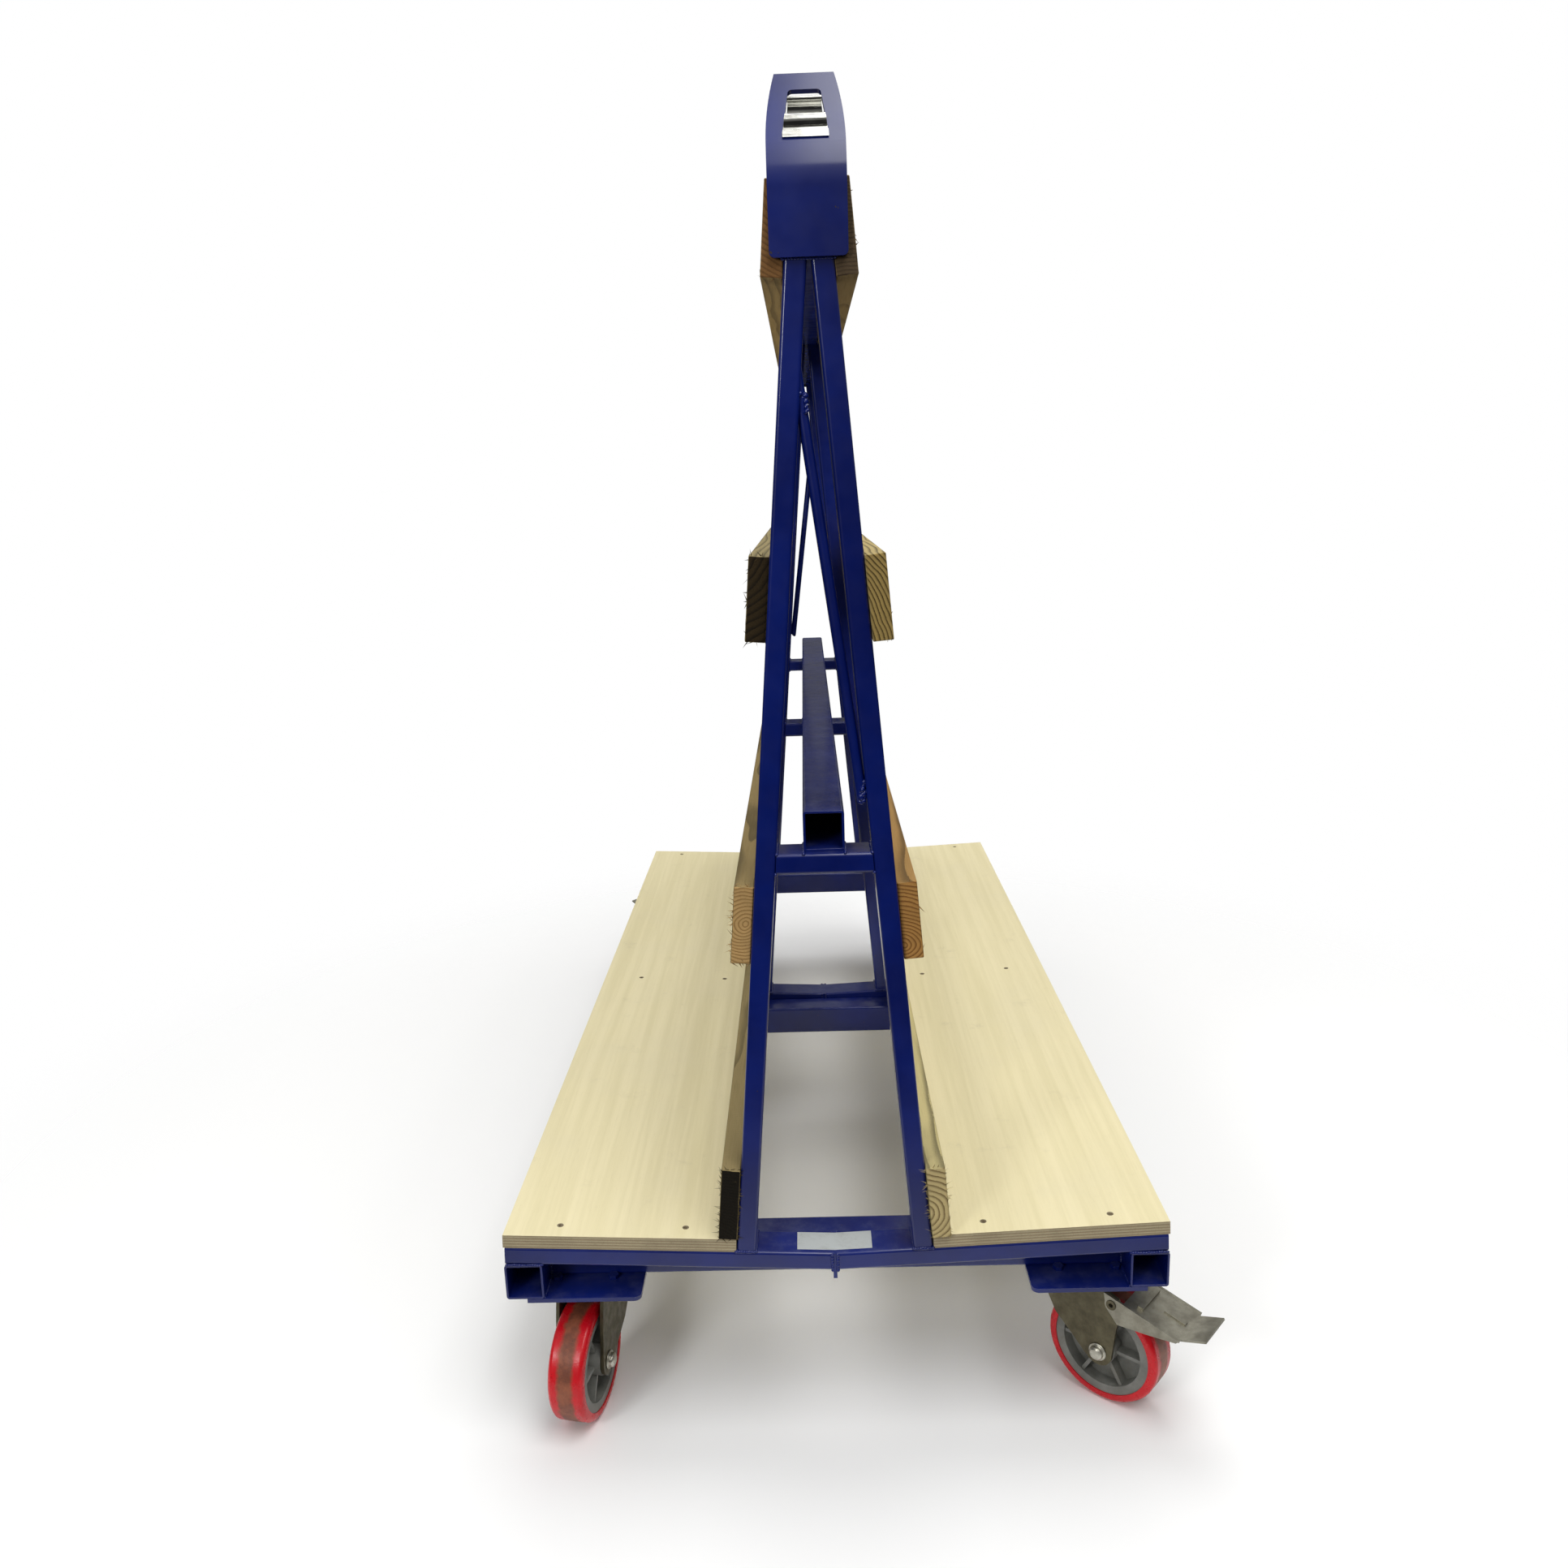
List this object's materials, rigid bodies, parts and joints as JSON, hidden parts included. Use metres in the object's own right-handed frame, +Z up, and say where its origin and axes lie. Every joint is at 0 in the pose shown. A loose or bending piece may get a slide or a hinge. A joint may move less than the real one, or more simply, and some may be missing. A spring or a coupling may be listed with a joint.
{
  "type": "a-frame board trolley",
  "caption": "A-frame trolley: two sloping plywood decks either side of a blue steel A-frame with timber battens, strap windows at the ends and swivel casters with brakes.",
  "frame": {"origin": "on the floor, at the middle of the trolley's length and width", "axes": "+Z up; the length runs along Y and the front end with the label faces -Y; +X is to the right seen from the front"},
  "size_m": [1.0106, 1.8558, 1.665],
  "materials": {
    "blue_paint": "gloss",
    "plywood": "satin",
    "sawn_timber": "rough sawn",
    "polished_strip": "polished",
    "zinc_plate": "zinc plated",
    "fasteners": "zinc plated",
    "core_grey": "moulded",
    "red_tyre": "cast polyurethane",
    "label_film": "printed film"
  },
  "bodies": {
    "frame": {"side_tube_left": "blue_paint", "side_tube_right": "blue_paint", "front_cross_tube": "blue_paint", "middle_cross_tube": "blue_paint", "rear_cross_tube": "blue_paint", "front_v_member": "blue_paint", "middle_v_member": "blue_paint", "rear_v_member": "blue_paint", "front_leg_left": "blue_paint", "front_leg_right": "blue_paint", "middle_leg_left": "blue_paint", "middle_leg_right": "blue_paint", "rear_leg_left": "blue_paint", "rear_leg_right": "blue_paint", "frame_rungs": "blue_paint", "centre_beam": "blue_paint", "ridge_beam": "blue_paint", "front_brace": "blue_paint", "rear_brace": "blue_paint", "caster_brackets": "blue_paint", "deck_left": "plywood", "deck_right": "plywood", "left_batten_1": "sawn_timber", "left_batten_2": "sawn_timber", "left_batten_3": "sawn_timber", "left_batten_4": "sawn_timber", "right_batten_1": "sawn_timber", "right_batten_2": "sawn_timber", "right_batten_3": "sawn_timber", "right_batten_4": "sawn_timber", "front_head_plate": "blue_paint", "rear_head_plate": "blue_paint", "strap_guides": "polished_strip", "label": "label_film", "deck_screws": "fasteners", "batten_screws": "fasteners", "caster_bolts": "fasteners", "front_right_top_plate": "zinc_plate", "front_left_top_plate": "zinc_plate", "rear_left_top_plate": "zinc_plate", "rear_right_top_plate": "zinc_plate"},
    "front_right_swivel": {"front_right_fork": "zinc_plate", "front_right_axle": "fasteners"},
    "front_right_wheel": {"front_right_core": "core_grey", "front_right_tyre": "red_tyre"},
    "front_right_pedal_lever": {"front_right_pedal": "zinc_plate"},
    "front_left_swivel": {"front_left_fork": "zinc_plate", "front_left_axle": "fasteners"},
    "front_left_wheel": {"front_left_core": "core_grey", "front_left_tyre": "red_tyre"},
    "rear_left_swivel": {"rear_left_fork": "zinc_plate", "rear_left_axle": "fasteners"},
    "rear_left_wheel": {"rear_left_core": "core_grey", "rear_left_tyre": "red_tyre"},
    "rear_left_pedal_lever": {"rear_left_pedal": "zinc_plate"},
    "rear_right_swivel": {"rear_right_fork": "zinc_plate", "rear_right_axle": "fasteners"},
    "rear_right_wheel": {"rear_right_core": "core_grey", "rear_right_tyre": "red_tyre"}
  },
  "joints": [
    {"name": "front_right_swivel_turn", "type": "hinge", "parent": "frame", "child": "front_right_swivel", "pos_m": [0.336, -0.779, 0.19], "axis": [0, 0, 1], "continuous": true},
    {"name": "front_right_wheel_roll", "type": "hinge", "parent": "front_right_swivel", "child": "front_right_wheel", "pos_m": [0.3743, -0.81114, 0.08], "axis": [0.6428, 0.766, 0], "continuous": true},
    {"name": "front_right_pedal_press", "type": "hinge", "parent": "front_right_swivel", "child": "front_right_pedal_lever", "pos_m": [0.38886, -0.82335, 0.162], "axis": [0.6428, 0.766, 0], "range_deg": [0, 10]},
    {"name": "front_left_swivel_turn", "type": "hinge", "parent": "frame", "child": "front_left_swivel", "pos_m": [-0.336, -0.779, 0.19], "axis": [0, 0, 1], "continuous": true},
    {"name": "front_left_wheel_roll", "type": "hinge", "parent": "front_left_swivel", "child": "front_left_wheel", "pos_m": [-0.34554, -0.82808, 0.08], "axis": [0.9816, -0.1908, 0], "continuous": true},
    {"name": "rear_left_swivel_turn", "type": "hinge", "parent": "frame", "child": "rear_left_swivel", "pos_m": [-0.336, 0.779, 0.19], "axis": [0, 0, 1], "continuous": true},
    {"name": "rear_left_wheel_roll", "type": "hinge", "parent": "rear_left_swivel", "child": "rear_left_wheel", "pos_m": [-0.3743, 0.81114, 0.08], "axis": [-0.6428, -0.766, 0], "continuous": true},
    {"name": "rear_left_pedal_press", "type": "hinge", "parent": "rear_left_swivel", "child": "rear_left_pedal_lever", "pos_m": [-0.38886, 0.82335, 0.162], "axis": [-0.6428, -0.766, 0], "range_deg": [0, 10]},
    {"name": "rear_right_swivel_turn", "type": "hinge", "parent": "frame", "child": "rear_right_swivel", "pos_m": [0.336, 0.779, 0.19], "axis": [0, 0, 1], "continuous": true},
    {"name": "rear_right_wheel_roll", "type": "hinge", "parent": "rear_right_swivel", "child": "rear_right_wheel", "pos_m": [0.34554, 0.82808, 0.08], "axis": [-0.9816, 0.1908, 0], "continuous": true}
  ]
}
